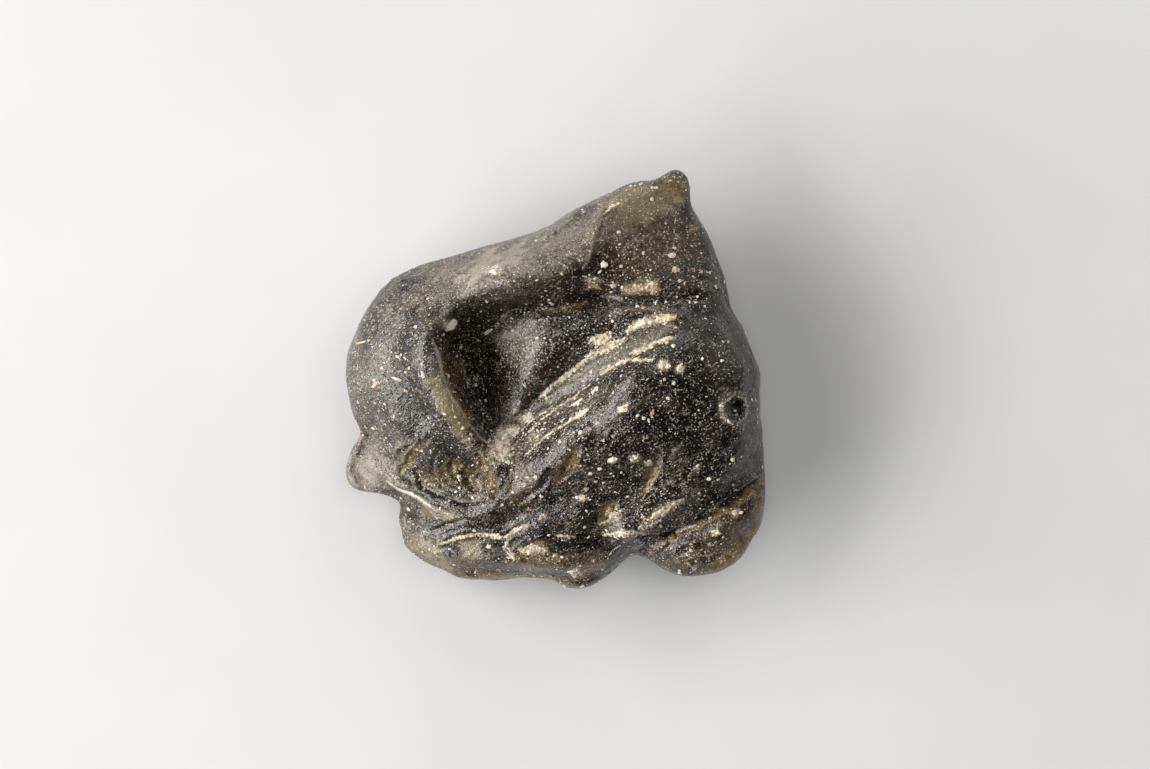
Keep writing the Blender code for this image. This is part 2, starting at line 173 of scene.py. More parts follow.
def cell_values(cells, seed):
    """A repeatable number from 0 to 1 for each cell, given as three whole numbers."""
    mixed = cells[:, 0] * 73856093 ^ cells[:, 1] * 19349663 ^ cells[:, 2] * 83492791 ^ seed * 40503
    mixed = (mixed ^ (mixed >> 13)) * 1274126177 & 0xFFFFFFFF
    return ((mixed ^ (mixed >> 16)) & 0xFFFF) / 0xFFFF


def rough(points, size, seed=0):
    """Smooth noise from -1 to 1 whose lumps are about size across; size may differ by axis."""
    place = points / np.array(size) + 1000.0
    cell = np.floor(place).astype(np.int64)
    part = place - cell
    part = part * part * (3 - 2 * part)
    total = np.zeros(len(points))
    for corner in itertools.product((0, 1), repeat=3):
        share = np.prod(np.where(corner, part, 1 - part), axis=1)
        total += share * cell_values(cell + np.array(corner), seed)
    return 2 * total - 1


def smoothstep(low, high, values):
    """0 below low, 1 above high, and a smooth rise between."""
    part = np.clip((values - low) / (high - low), 0, 1)
    return part * part * (3 - 2 * part)


def to_line(plan, pixels):
    """For each point: its distance to the line of pixels, positive on the left going along it, and
    how far along it is nearest, from 0 to 1."""
    corners = np.array([in_plan(pixel) for pixel in pixels])
    lengths = np.linalg.norm(np.diff(corners, axis=0), axis=1)
    starts = np.concatenate([[0], np.cumsum(lengths)])
    best = np.full(len(plan), np.inf)
    signed = np.zeros(len(plan))
    along = np.zeros(len(plan))
    for start, end, length, before in zip(corners[:-1], corners[1:], lengths, starts):
        way = (end - start) / length
        offset = plan - start
        reach = np.clip(offset @ way, 0, length)
        gap = offset - reach[:, None] * way
        distance = np.linalg.norm(gap, axis=1)
        closer = distance < best
        side = np.where(way[0] * offset[:, 1] - way[1] * offset[:, 0] >= 0, 1, -1)
        best = np.where(closer, distance, best)
        signed = np.where(closer, distance * side, signed)
        along = np.where(closer, (before + reach) / starts[-1], along)
    return signed, along


class Skin:
    """The glass surface as arrays: points in millimetres, and what joins them."""

    def __init__(self, mesh):
        self.mesh = mesh
        count = len(mesh.vertices)
        self.points = np.empty(count * 3)
        mesh.vertices.foreach_get("co", self.points)
        self.points = self.points.reshape(-1, 3) / MM
        edges = np.empty(len(mesh.edges) * 2, int)
        mesh.edges.foreach_get("vertices", edges)
        self.edges = edges.reshape(-1, 2)
        self.neighbours = np.bincount(self.edges.ravel(), minlength=count)

    def spread(self, values):
        """The mean over each point's neighbours."""
        if values.ndim > 1:
            return np.stack([self.spread(column) for column in values.T], axis=1)
        count = len(self.points)
        a, b = self.edges.T
        total = np.bincount(a, values[b], minlength=count) + np.bincount(b, values[a], minlength=count)
        return total / self.neighbours

    def blurred(self, values, passes):
        for _ in range(passes):
            values = self.spread(values)
        return values

    def store(self):
        self.mesh.vertices.foreach_set("co", (self.points * MM).ravel())
        self.mesh.update()

    def normals(self):
        """The outward direction at each point of the skin as it is now."""
        self.store()
        normals = np.empty(len(self.points) * 3)
        self.mesh.vertex_normals.foreach_get("vector", normals)
        return normals.reshape(-1, 3)

    def round_facets(self, passes):
        """Smooths without shrinking: each pass in is followed by one slightly larger out."""
        for _ in range(passes):
            for share in (0.5, -0.53):
                self.points += share * (self.spread(self.points) - self.points)

    def soften(self, share, passes):
        """Smooths the parts where share is above 0."""
        for _ in range(passes):
            self.points += 0.5 * share[:, None] * (self.spread(self.points) - self.points)


def record(mesh, name, values):
    """Keeps a number for each point of the mesh, for the material to read."""
    layer = mesh.attributes.new(name, "FLOAT", "POINT")
    layer.data.foreach_set("value", values.astype(np.float32))


def recorded(mesh, name):
    values = np.empty(len(mesh.vertices), np.float32)
    mesh.attributes[name].data.foreach_get("value", values)
    return values


def new_piece(name, mesh):
    piece = bpy.data.objects.new(name, mesh)
    bpy.context.scene.collection.objects.link(piece)
    return piece


def applied(piece):
    """The piece with its modifiers worked into its mesh."""
    shown = piece.evaluated_get(bpy.context.evaluated_depsgraph_get())
    mesh = bpy.data.meshes.new_from_object(shown)
    piece.modifiers.clear()
    piece.data = mesh
    return piece


def shade_smooth(mesh):
    mesh.polygons.foreach_set("use_smooth", np.ones(len(mesh.polygons), bool))


def even_glass():
    """The solid's shape as one even, fine mesh."""
    mesh = frame["nodes"]["darwin_glass"].data.copy()
    mesh.materials.clear()
    work = bmesh.new()
    work.from_mesh(mesh)
    bmesh.ops.remove_doubles(work, verts=work.verts, dist=0.001 * MM)
    work.to_mesh(mesh)
    work.free()
    glass = new_piece("frosted_glass_fragment", mesh)
    remesh = glass.modifiers.new("even", "REMESH")
    remesh.mode = "VOXEL"
    remesh.voxel_size = VOXEL * MM
    return applied(glass)


def thinned(piece, triangles):
    """The piece of four-sided faces with fewer triangles where it is smooth."""
    fewer = piece.modifiers.new("fewer", "DECIMATE")
    fewer.ratio = min(1, triangles / (2 * len(piece.data.polygons)))
    return applied(piece)


def warped_plan(points):
    """Plan positions shifted a little by noise, so that drawn lines wander as natural ones do."""
    shift = np.stack([rough(points, 2.6, seed) for seed in (1, 2)], axis=1) * 0.28
    fine = np.stack([rough(points, 0.7, seed) for seed in (3, 4)], axis=1) * 0.1
    return points[:, :2] + shift + fine


def line_relief(points):
    """Height of the creases, ledges and rings over the folded face."""
    plan = warped_plan(points)
    uneven = 0.75 + 0.35 * rough(points, 1.8, 5)
    height = np.zeros(len(points))
    for depth, half_width, pixels in CREASES.values():
        signed, along = to_line(plan, pixels)
        ends = np.sin(np.pi * np.clip(along, 0.02, 0.98)) ** 0.35
        height -= depth * ends * uneven * np.exp(-((signed / half_width) ** 2))
        height += 0.25 * depth * ends * np.exp(-((np.abs(signed) / half_width - 2.2) ** 2))
    for rise, reach, pixels in LEDGES.values():
        signed, along = to_line(plan, pixels)
        ends = np.sin(np.pi * np.clip(along, 0.02, 0.98)) ** 0.5
        height += rise * ends * smoothstep(-0.12, 0.12, signed) * np.exp(-np.abs(signed) / reach)
    for pixel, size, spacing, rise in RINGS.values():
        distance = np.linalg.norm(plan - in_plan(pixel), axis=1)
        fade = np.exp(-((distance / size) ** 4))
        height += rise * fade * (1 - np.abs(np.sin(np.pi * distance / spacing))) * uneven
    return height


def lean_lip(points):
    """Moves the top of the roll's lip out over the hollow, which leaves it with a thin edge."""
    signed, along = to_line(points[:, :2], LEDGES["blade"][2])
    lip = np.interp(along, (0, 0.3, 0.65, 1), LIP_HEIGHTS)
    share = np.exp(-((np.maximum(signed, 0) / 1.5) ** 2)) * smoothstep(-2.4, -1.2, signed)
    share *= smoothstep(lip - 2.4, lip - 0.5, points[:, 2])
    share *= smoothstep(0, 0.15, along) * smoothstep(1, 0.85, along)
    points[:, :2] += share[:, None] * LIP_LEAN


def streak_relief(points):
    """Fine parallel ridges, drawn out the way that the melt flowed."""
    turn = np.array([
        [math.cos(FLOW_TURN), -math.sin(FLOW_TURN), 0],
        [math.sin(FLOW_TURN), math.cos(FLOW_TURN), 0],
        [0, 0, 1],
    ])
    swirl = points + 0.8 * np.stack([rough(points, 6, seed) for seed in (11, 12, 13)], axis=1)
    drawn = swirl @ turn
    broad = rough(drawn, (STREAK_LENGTH, STREAK_WIDTH, 1.2), 14)
    fine = rough(drawn, (STREAK_LENGTH * 0.6, STREAK_WIDTH * 0.6, 0.8), 15)
    patchy = 0.45 + 0.55 * smoothstep(-0.3, 0.5, rough(points, 5, 16))
    return STREAK_HEIGHT * patchy * (0.65 * broad + 0.35 * fine)


def shell_ripples(points):
    """Curved ripples of a conchoidal break, for the sides and the underside."""
    height = np.zeros(len(points))
    for k, centre in enumerate(RIPPLE_CENTRES):
        distance = np.linalg.norm(points - centre, axis=1) + 0.9 * rough(points, 5, 20 + k)
        patch = smoothstep(0, 0.5, rough(points, 9, 30 + k))
        height += RIPPLE_HEIGHT * patch * np.sin(2 * np.pi * distance / (1.5 + 0.2 * k))
    return height


def ragged_edge(points):
    """Noise that makes the edge of an oval uneven when it is added to in_oval()."""
    return 0.34 * rough(points, 1.1, 53) + 0.24 * rough(points, 0.45, 54)


def in_oval(plan, pixel, half_length, half_width, turn):
    """How far out in an oval each point lies: 0 at its middle and 1 at its edge."""
    offset = plan - in_plan(pixel)
    c, s = math.cos(math.radians(turn)), math.sin(math.radians(turn))
    return np.hypot((offset @ (c, s)) / half_length, (offset @ (-s, c)) / half_width)


def dished(height, tree, centre, radius, depth, rim):
    """Adds one round pit with a raised rim to the height."""
    for _, index, distance in tree.find_range(Vector(centre), radius * 1.5):
        part = distance / radius
        if part < 1:
            height[index] -= depth * (1 - part * part)
        height[index] += rim * math.exp(-((part - 1.05) / 0.22) ** 2)


def point_under(pixel, points, hidden):
    """Which point lies nearest to a pixel, of those that aren't hidden."""
    return np.argmin(np.linalg.norm(points[:, :2] - in_plan(pixel), axis=1) + hidden)


def pit_relief(points, normals):
    """Burst bubbles and pits over the whole skin, and the long gashes of the folded face."""
    tree = KDTree(len(points))
    for index, point in enumerate(points):
        tree.insert(point, index)
    tree.balance()
    height = np.zeros(len(points))
    chance = np.random.default_rng(7)
    for index in chance.choice(len(points), PIT_COUNT, replace=False):
        radius = PIT_RADIUS[0] + (PIT_RADIUS[1] - PIT_RADIUS[0]) * chance.random() ** 3
        depth = radius * chance.uniform(0.25, 0.6)
        depth *= 0.4 + 0.6 * smoothstep(0.1, 0.5, normals[index, 2])
        dished(height, tree, points[index], radius, depth, depth * 0.25)
    hidden = OUT_OF_REACH * (normals[:, 2] < 0.2)
    for bubble in (BUBBLE, INNER_BUBBLE):
        near = point_under(bubble["pixel"], points, hidden)
        dished(height, tree, points[near], bubble["radius"], bubble["depth"], bubble["rim"])
    upper = normals[:, 2] > 0.1
    plan = warped_plan(points)
    ragged = ragged_edge(points)
    for *oval, depth in GASHES.values():
        height -= depth * smoothstep(1.2, 0.35, in_oval(plan, *oval) + ragged) * upper
    return height


def carve(skin):
    """Works all the fine relief into the skin, and keeps the flat patch flat."""
    lean_lip(skin.points)
    normals = skin.normals()
    facing = smoothstep(0.05, 0.55, normals[:, 2]) * smoothstep(3, 6, skin.points[:, 2])
    broad_normals = skin.blurred(normals, 4)
    broad_normals /= np.linalg.norm(broad_normals, axis=1)[:, None]
    height = facing * (line_relief(skin.points) + streak_relief(skin.points))
    height += smoothstep(0.1, -0.4, normals[:, 2]) * shell_ripples(skin.points)
    height += pit_relief(skin.points, normals)
    for seed, (size, rise) in enumerate(SWELLS):
        height += rise * rough(skin.points, size, 40 + seed)
    standing = skin.points[:, 2] < 0.05
    skin.points += broad_normals * (height * ~standing)[:, None]
    skin.points[:, 2] = np.maximum(skin.points[:, 2], 0)


# Amber and brown glass: pixel, half-length, half-width, turn in degrees and strength.
AMBER = {
    "left_gash": ((569, 462), 2, 0.8, 62, 1),
    "right_gash": ((649, 479), 1.8, 0.7, 55, 0.9),
    "low_gash": ((606, 513), 1.5, 0.8, 58, 1),
    "wedge": ((413, 457), 2, 0.7, 50, 0.6),
    "under_blade": ((453, 368), 3, 0.9, 103, 0.45),
    "scoop": ((455, 478), 4.2, 1.8, -12, 0.35),
    "wing": ((712, 535), 4.6, 2.2, 32, 0.3),
    "wing_edge": ((742, 550), 4.4, 1.8, 45, 0.75),
    "wing_side": ((762, 516), 3.6, 1.2, 92, 0.7),
    "bottom_edge": ((520, 582), 7, 0.8, 0, 0.5),
    "wing_foot": ((715, 572), 2.6, 0.7, 15, 0.5),
    "bottom": ((548, 562), 5, 1.4, 3, 0.35),
    "lobe_foot": ((468, 569), 4.5, 1.2, -15, 0.4),
    "facet_top": ((640, 212), 4.6, 2.4, 15, 0.25),
    "facet": ((648, 246), 7, 4.6, 10, 0.22),
    "facet_clump": ((640, 290), 2, 0.6, 8, 0.9),
    "facet_foot": ((592, 287), 1.2, 0.5, 25, 0.8),
    "apex": ((674, 188), 1.9, 1.5, 0, 0.7),
    "fan_foot": ((520, 480), 1.6, 3.2, 0, 0.25),
    "apex_notch": ((690, 229), 1, 0.5, 10, 0.9),
    "scoop_side": ((485, 470), 2.6, 1.2, 100, 0.5),
    "scoop_pit": ((453, 464), 1, 0.7, 0, 0.8),
    "scoop_corner": ((492, 494), 1.2, 0.5, 70, 0.9),
    "band": ((660, 510), 1.6, 0.5, 35, 0.6),
    "bottom_notch": ((590, 566), 1.8, 1.2, 10, 0.5),
    "second_fold": ((540, 545), 1.2, 0.4, 20, 0.6),
    "upper_crease": ((560, 309), 3, 0.5, 10, 0.4),
    "upper_crease_right": ((640, 310), 2.6, 0.4, 5, 0.4),
}
# Olive glass that light gets through, given as the amber is.
OLIVE = {
    "blade": ((451, 410), 4.2, 1, -61, 1),
    "facet_top": ((640, 205), 4.4, 2.2, 10, 0.75),
    "wing_edge": ((750, 540), 4.6, 1.5, 55, 0.3),
    "wing_foot": ((715, 568), 3.2, 0.9, 15, 0.25),
    "lobe_lens": ((470, 550), 1.3, 0.9, 40, 0.8),
    "facet_foot": ((640, 287), 2.2, 0.9, 8, 0.3),
    "bottom_strip": ((515, 577), 3.6, 0.5, -3, 0.6),
    "wing_middle": ((690, 565), 3.4, 1.2, 0, 0.2),
    "lobe_edge": ((430, 560), 4, 1.4, -32, 0.35),
    "flange_foot": ((445, 514), 3, 0.7, -8, 0.5),
}
# Pale glass: partly frosted glass, partly painted sheen on slopes that face the lamps, as on the band,
# roll, flange and bulge.
PALE = {
    "flange": ((368, 468), 4.4, 4.8, 0, 0.86),
    "roll_edge": ((362, 372), 3, 10, 6, 0.5),
    "roll": ((398, 372), 5, 9, 12, 0.12),
    "band": ((500, 262), 12.5, 3.4, 22, 0.88),
    "bubble_left": ((720, 408), 0.5, 1.5, 0, 0.7),
    "bubble_top": ((733, 393), 1.4, 0.4, 0, 0.6),
    "bubble_foot": ((735, 423), 1.2, 0.4, 0, 0.5),
    "facet_side": ((572, 240), 4.4, 1.4, 66, 0.7),
    "crack_foot": ((507, 438), 1.5, 0.9, 50, 0.95),
    "lobe_left": ((420, 545), 5, 2.2, -40, 0.5),
    "apex": ((684, 184), 1.3, 1.2, 0, 0.5),
    "flake": ((451, 325), 0.9, 0.75, 0, 1),
    "bulge": ((521, 352), 2.2, 3.4, 14, 0.62),
    "top_edge": ((640, 184), 5.5, 0.9, 22, 0.4),
    "fan": ((552, 416), 4.6, 1.8, 40, 0.3),
    "blade_top": ((438, 380), 2.6, 0.9, -72, 0.5),
    "slope": ((694, 470), 1, 0.3, 35, 0.6),
    "low_gash_foot": ((615, 523), 1.6, 1.4, 30, 0.6),
    "wing_flake": ((689, 567), 1.1, 0.3, -60, 1),
    "band_right": ((560, 250), 9, 2.2, 22, 0.4),
    "lobe": ((472, 552), 3.6, 1.3, -5, 0.35),
    "fan_end": ((508, 412), 1.2, 1.6, 0, 0.6),
}
# Where the skin is thick with bright pricks, which are partly frosted specks and partly painted glints,
# also put on the lit bulge and in the shaded hollow.
SPECKS_AND_GLINTS = {
    "bulge": ((522, 352), 3.8, 2.6, 62, 1),
    "facet": ((650, 245), 5, 4, 0, 0.35),
    "bulge_foot": ((498, 366), 2.2, 0.9, 80, 0.6),
    "hollow": ((474, 368), 2.6, 5.2, 10, 0.5),
    "fan_side": ((572, 428), 4.2, 1.5, 40, 0.5),
    "band": ((652, 498), 5, 1.5, 33, 0.7),
    "slope": ((690, 470), 2.6, 1.2, 35, 0.5),
    "wing": ((706, 556), 2.6, 1.2, 8, 0.8),
    "lobe_top": ((470, 530), 4, 1, -5, 0.6),
    "roll_foot": ((440, 430), 1.6, 1.8, 0, 0.7),
    "fan_end": ((510, 405), 1.2, 1.8, 0, 0.8),
}
# Glossy glass with its haze taken down: partly glossy glass, partly painted shade that darkens these
# parts.
CLEAN_AND_SHADED = {
    "bulge_right": ((580, 338), 3.8, 1.4, 30, 1),
    "face_low": ((562, 495), 4.8, 2.6, 8, 1),
    "face_middle": ((652, 428), 6.4, 2.6, 5, 0.9),
    "face_top": ((690, 385), 5, 3, 0, 0.6),
    "wing": ((715, 560), 4, 2.2, 20, 0.8),
    "bottom": ((520, 572), 7.5, 1.3, 0, 0.8),
}
# Pale glass along lines: half-width, strength, and pixels. Partly frosted glass, partly painted
# highlights along ridges and rims, as on the flange line.
PALE_LINES = {
    "fan": (1.5, 0.3, [(606, 388), (580, 405), (548, 428), (522, 448)]),
    "fan_top": (0.7, 0.4, [(556, 397), (536, 412), (516, 428), (500, 440)]),
    "strip": (0.95, 0.62, [(548, 402), (568, 386), (596, 368), (622, 354), (646, 340), (672, 326)]),
    "blade_edge": (0.2, 0.93, [
        (437, 340), (441, 356), (445, 376), (451, 393), (463, 412), (474, 429), (486, 441)]),
    "bubble_rim": (0.16, 0.9, [
        (722, 408), (725, 398), (733, 394), (743, 397), (747, 407), (744, 418), (735, 422), (726, 419),
        (722, 408)]),
    "flange_line": (0.34, 1, [(386, 482), (398, 490), (412, 496), (430, 507)]),
    "scoop_rim": (0.16, 0.7, [(421, 470), (426, 488), (444, 499), (470, 501), (490, 499)]),
    "wing_streak": (0.2, 1, [(684, 560), (699, 556), (715, 553)]),
    "wing_flake": (0.18, 0.9, [(700, 572), (708, 564), (722, 560)]),
    "face_streak": (0.22, 0.8, [(667, 459), (674, 450), (681, 442)]),
    "low_streak": (0.2, 0.8, [(659, 489), (667, 482), (675, 478)]),
    "facet_edge": (0.16, 0.6, [(582, 272), (590, 250), (598, 228), (605, 207)]),
    "lobe_swirl": (0.16, 0.5, [(448, 537), (470, 529), (492, 528), (512, 522)]),
    "lobe_swirl_low": (0.16, 0.5, [(446, 556), (466, 560), (490, 556), (503, 548)]),
}
# Amber glass along lines.
AMBER_LINES = {
    "groove_lip": (0.3, 1, [(652, 551), (668, 539), (684, 528), (712, 514), (740, 500), (764, 478)]),
    "blade_foot": (0.3, 0.7, [(446, 372), (452, 388), (461, 403), (472, 420)]),
    "wedge": (0.34, 1, [(403, 472), (410, 462), (420, 450), (431, 440)]),
    "scoop_side": (0.3, 0.8, [(484, 462), (492, 478), (494, 492), (488, 499)]),
    "wing_foot": (0.4, 0.7, [(716, 580), (740, 570), (762, 548)]),
}
# Clay worked into the glass along lines.
CLAY_LINES = {
    "crack": (0.27, 1, [(540, 397), (553, 386), (562, 379), (575, 370), (590, 359)]),
    "fan_line": (0.11, 0.62, [(590, 384), (566, 402), (540, 422), (514, 446)]),
    "fan_line_low": (0.11, 0.6, [(582, 412), (562, 426), (544, 438), (524, 456)]),
    "fan_line_high": (0.1, 0.6, [(560, 398), (548, 410), (534, 420), (522, 431)]),
    "crack_middle": (0.38, 1, [(588, 358), (600, 351), (612, 346), (624, 339)]),
    "crack_top": (0.5, 0.92, [(626, 333), (636, 326), (648, 323), (660, 319), (674, 316)]),
    "strip_foot": (0.2, 0.9, [(600, 374), (614, 366), (628, 361), (642, 360), (654, 358)]),
    "strip_streak": (0.24, 0.95, [(630, 355), (643, 349), (656, 342)]),
    "strip_end": (0.32, 0.95, [(659, 342), (672, 340)]),
    "lobe_edge": (0.2, 0.85, [(440, 546), (455, 541), (470, 536), (480, 533)]),
    "lobe_middle": (0.3, 0.95, [(478, 533), (490, 534), (503, 537)]),
    "lobe_end": (0.22, 0.9, [(503, 537), (510, 533), (520, 525), (531, 521)]),
    "lobe_side": (0.35, 1, [(505, 542), (507, 550), (513, 556)]),
    "second_fold": (0.5, 0.74, [(520, 550), (530, 551), (547, 548)]),
    "band": (0.5, 0.68, [(641, 526), (652, 519), (664, 509), (680, 501)]),
    "band_foot": (0.3, 0.8, [(604, 535), (620, 533), (644, 531)]),
    "mid_gash": (0.16, 0.9, [(558, 534), (574, 536)]),
    "facet_line": (0.14, 0.9, [(603, 215), (610, 210), (618, 206)]),
    "facet_foot": (0.3, 0.6, [(583, 279), (590, 288), (598, 291)]),
    "facet_clump": (0.25, 0.5, [(622, 288), (634, 292), (646, 290), (654, 284)]),
    "wing_line": (0.2, 0.7, [(676, 531), (690, 524), (704, 517)]),
    "bubble_ring": (0.26, 0.55, [(730, 396), (723, 400), (719, 408), (721, 417), (729, 423)]),
}
# Clay and dust in patches, given as the amber is.
CLAY_PATCHES = {
    "crack_foot": ((501, 447), 1.9, 1.2, 70, 1),
    "crack_foot_white": ((512, 433), 1, 0.7, 20, 1),
    "fan_ring": ((527, 418), 0.8, 0.55, 30, 0.8),
    "over_crack": ((600, 339), 0.9, 0.6, 10, 1),
    "strip_knot": ((663, 365), 0.7, 0.6, 0, 0.74),
    "strip_knot_small": ((679, 369), 0.6, 0.5, 0, 0.72),
    "groove_end": ((733, 511), 0.6, 0.4, 0, 0.72),
    "wing_dot": ((713, 531), 0.5, 0.4, 0, 0.8),
    "face_dot": ((612, 459), 0.6, 0.5, 0, 0.8),
    "face_dot_right": ((633, 458), 0.7, 0.5, 30, 0.8),
    "face_dot_small": ((648, 463), 0.4, 0.3, 0, 0.8),
    "slope_dot": ((695, 466), 0.6, 0.35, 30, 0.7),
    "low_gash": ((615, 515), 0.9, 0.8, 0, 0.7),
    "face_top_dot": ((623, 408), 0.7, 0.35, 35, 0.9),
    "face_low_dot": ((582, 497), 0.6, 0.4, 0, 0.8),
    "face_low_dot_left": ((544, 515), 0.5, 0.3, 20, 0.7),
    "band_dot": ((495, 272), 1, 0.5, 20, 0.6),
    "fan": ((534, 438), 1, 0.6, 40, 0.4),
    "bottom_dot": ((576, 570), 0.9, 0.5, 0, 0.6),
    "facet_foot": ((590, 283), 0.9, 0.45, 20, 0.66),
    "facet_foot_right": ((612, 287), 0.6, 0.35, 0, 0.6),
    "facet_clump": ((632, 291), 0.9, 0.45, 5, 0.5),
    "facet_clump_right": ((650, 292), 0.7, 0.4, 5, 0.5),
    "facet_clump_top": ((651, 287), 0.5, 0.35, 0, 0.6),
}


def in_patches(points, patches, edge=(1.3, 0.5)):
    """How strongly each point lies in any of the patches, from 0 to 1, with ragged edges."""
    plan = warped_plan(points)
    ragged = ragged_edge(points)
    amount = np.zeros(len(points))
    for *oval, strength in patches.values():
        inside = smoothstep(*edge, in_oval(plan, *oval) + ragged)
        amount = np.maximum(amount, strength * inside)
    return amount


def on_lines(points, lines):
    """How strongly each point lies on any of the drawn lines, from 0 to 1."""
    plan = warped_plan(points)
    amount = np.zeros(len(points))
    for half_width, strength, pixels in lines.values():
        signed, along = to_line(plan, pixels)
        taper = 0.5 + 0.5 * np.sin(np.pi * along)
        reach = np.abs(signed) / (half_width * taper)
        amount = np.maximum(amount, strength * smoothstep(1.6, 0.3, reach))
    return amount


def clay_amount(points):
    """Clay by place: the drawn lines and patches, from 0 to 1."""
    return np.maximum(in_patches(points, CLAY_PATCHES), on_lines(points, CLAY_LINES))


THICK = 12.0  # through this much glass no light comes
SEE_THROUGH = 2.2  # the thickness at which about a third of the light is left
DUST_SPREAD = 60  # passes that spread the clay's dust over the glass round it
DUST_STRENGTH = 1.3
FULL_BEND = 0.12  # how far a point lies off the mean of its surroundings where a bend is sharp


def thinness(skin, normals):
    """1 where the glass is thin enough to let light through, 0 where it is thick."""
    faces = [tuple(face.vertices) for face in skin.mesh.polygons]
    tree = BVHTree.FromPolygons([Vector(point) for point in skin.points], faces)
    depth = np.empty(len(skin.points))
    for index, (point, normal) in enumerate(zip(skin.points, normals)):
        inward = -Vector(normal)
        place, _, _, distance = tree.ray_cast(Vector(point) + inward * 0.05, inward, THICK)
        depth[index] = THICK if place is None else distance
    return skin.blurred(np.exp(-depth / SEE_THROUGH), 12)


def record_looks(skin):
    """Stores the marks that the glass material reads: a number from 0 to 1 for each point, or from
    -1 on sharp ridges to 1 in sharp hollows."""
    points, mesh, normals = skin.points, skin.mesh, skin.normals()
    upper = smoothstep(0, 0.3, normals[:, 2])
    rim = smoothstep(-0.4, 0.1, normals[:, 2])
    bend = np.einsum("ij,ij->i", skin.blurred(points, 6) - points, skin.blurred(normals, 3))
    clay = clay_amount(points) * upper
    record(mesh, "clay", clay)
    record(mesh, "dusty", np.clip(DUST_STRENGTH * skin.blurred(clay, DUST_SPREAD), 0, 1))
    amber = np.maximum(in_patches(points, AMBER), on_lines(points, AMBER_LINES))
    pale = in_patches(points, PALE, edge=(1.6, 0.15))
    record(mesh, "amber", amber * rim)
    record(mesh, "olive", in_patches(points, OLIVE) * rim)
    # The pale mark is partly frosted glass and partly painted sheen and highlights.
    record(mesh, "pale", np.maximum(pale, on_lines(points, PALE_LINES)) * rim)
    # The speck mark is partly frosted specks and partly painted glints.
    record(mesh, "specks_and_glints", in_patches(points, SPECKS_AND_GLINTS, edge=(1.5, 0.3)) * rim)
    # The glossy mark also paints shade, since it lowers the haze colour.
    record(mesh, "clean_and_shaded", in_patches(points, CLEAN_AND_SHADED, edge=(1.5, 0.3)) * rim)
    record(mesh, "thin", thinness(skin, normals))
    record(mesh, "hollow", np.clip(bend / FULL_BEND, -1, 1))


